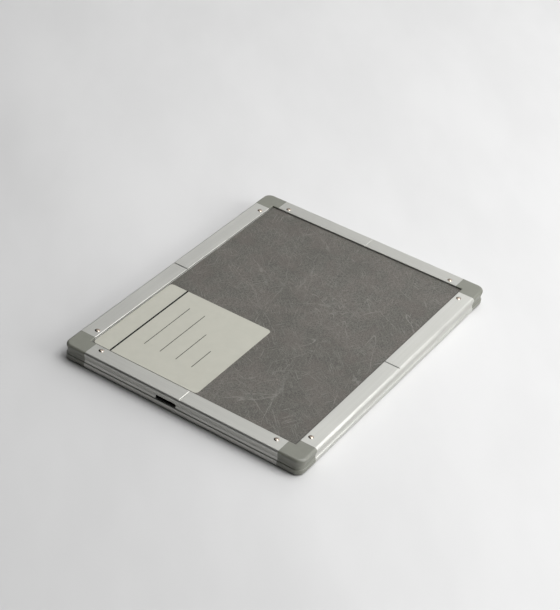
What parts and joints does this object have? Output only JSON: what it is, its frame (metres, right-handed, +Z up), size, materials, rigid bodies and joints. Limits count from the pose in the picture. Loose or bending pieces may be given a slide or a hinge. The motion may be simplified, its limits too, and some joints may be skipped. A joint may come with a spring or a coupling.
{
  "type": "x-ray film cassette",
  "caption": "Flat hinged holder for one sheet of x-ray film, with a metal frame, plastic corners and slide latches in its back.",
  "frame": {"origin": "centre of the face it rests on, at the bottom of the back cover", "axes": "+X along the length towards the hinge end, +Y towards the left side seen from the latch end, +Z up through the tube side"},
  "size_m": [0.265, 0.205, 0.0147],
  "materials": {
    "rail_aluminium": "satin anodised extrusion, fine lengthwise grain",
    "corner_plastic": "moulded grey plastic, fine matt grain",
    "rivet_steel": "bright plated steel rivet heads",
    "grained_covering": "dark grey embossed leathercloth with crease lines",
    "label_film": "pale warm grey printed film, satin",
    "label_ink": "black printing ink",
    "lead": "dull lead foil",
    "panel_aluminium": "mill-finish sheet",
    "screen_coating": "smooth off-white intensifying screen",
    "foam": "black open-cell pressure foam",
    "felt": "black felt",
    "black_plastic": "black moulded plastic",
    "thumb_plastic": "dark grooved plastic",
    "hinge_steel": "plated steel hinge",
    "latch_steel": "plated steel strip"
  },
  "bodies": {
    "back_cover": {"back_corner_hinge_left": "corner_plastic", "back_corner_hinge_right": "corner_plastic", "back_corner_latch_left": "corner_plastic", "back_corner_latch_right": "corner_plastic", "back_covering": "grained_covering", "back_panel": "panel_aluminium", "back_rail_hinge_end": "rail_aluminium", "back_rail_latch_end": "rail_aluminium", "back_rail_left": "rail_aluminium", "back_rail_right": "rail_aluminium", "back_rivets": "rivet_steel", "back_screen": "screen_coating", "foam_pad": "foam", "hinge_leaf_back_left": "hinge_steel", "hinge_leaf_back_right": "hinge_steel", "hinge_pin_left": "hinge_steel", "hinge_pin_right": "hinge_steel", "hinge_rivets_back": "hinge_steel", "lead_foil": "lead"},
    "front_tray": {"front_corner_hinge_left": "corner_plastic", "front_corner_hinge_right": "corner_plastic", "front_corner_latch_left": "corner_plastic", "front_corner_latch_right": "corner_plastic", "front_covering": "grained_covering", "front_panel": "panel_aluminium", "front_rail_hinge_end": "rail_aluminium", "front_rail_latch_end": "rail_aluminium", "front_rail_left": "rail_aluminium", "front_rail_right": "rail_aluminium", "front_rivets": "rivet_steel", "front_screen": "screen_coating", "hinge_leaf_front_left": "hinge_steel", "hinge_leaf_front_right": "hinge_steel", "hinge_rivets_front": "hinge_steel", "keeper_left": "latch_steel", "keeper_right": "latch_steel", "keeper_rivets": "latch_steel", "label_plate": "label_film", "label_print": "label_ink", "lead_blocker": "lead", "light_seal_hinge_end": "felt", "light_seal_latch_end": "felt", "light_seal_left": "felt", "light_seal_right": "felt", "slot_liner": "black_plastic"},
    "latch_left": {"friction_spring_left": "latch_steel", "latch_bolt_left": "latch_steel", "thumb_rivets_left": "latch_steel", "thumb_slide_left": "thumb_plastic"},
    "latch_right": {"friction_spring_right": "latch_steel", "latch_bolt_right": "latch_steel", "thumb_rivets_right": "latch_steel", "thumb_slide_right": "thumb_plastic"}
  },
  "joints": [
    {"name": "tray_hinge", "type": "hinge", "parent": "back_cover", "child": "front_tray", "pos_m": [0.1309, 0, 0.0055], "axis": [0, 1, 0], "range_deg": [0, 100]},
    {"name": "latch_left_slide", "type": "slide", "parent": "back_cover", "child": "latch_left", "axis": [0, 1, 0], "range_m": [0, 0.0045]},
    {"name": "latch_right_slide", "type": "slide", "parent": "back_cover", "child": "latch_right", "axis": [0, -1, 0], "range_m": [0, 0.0045]}
  ]
}
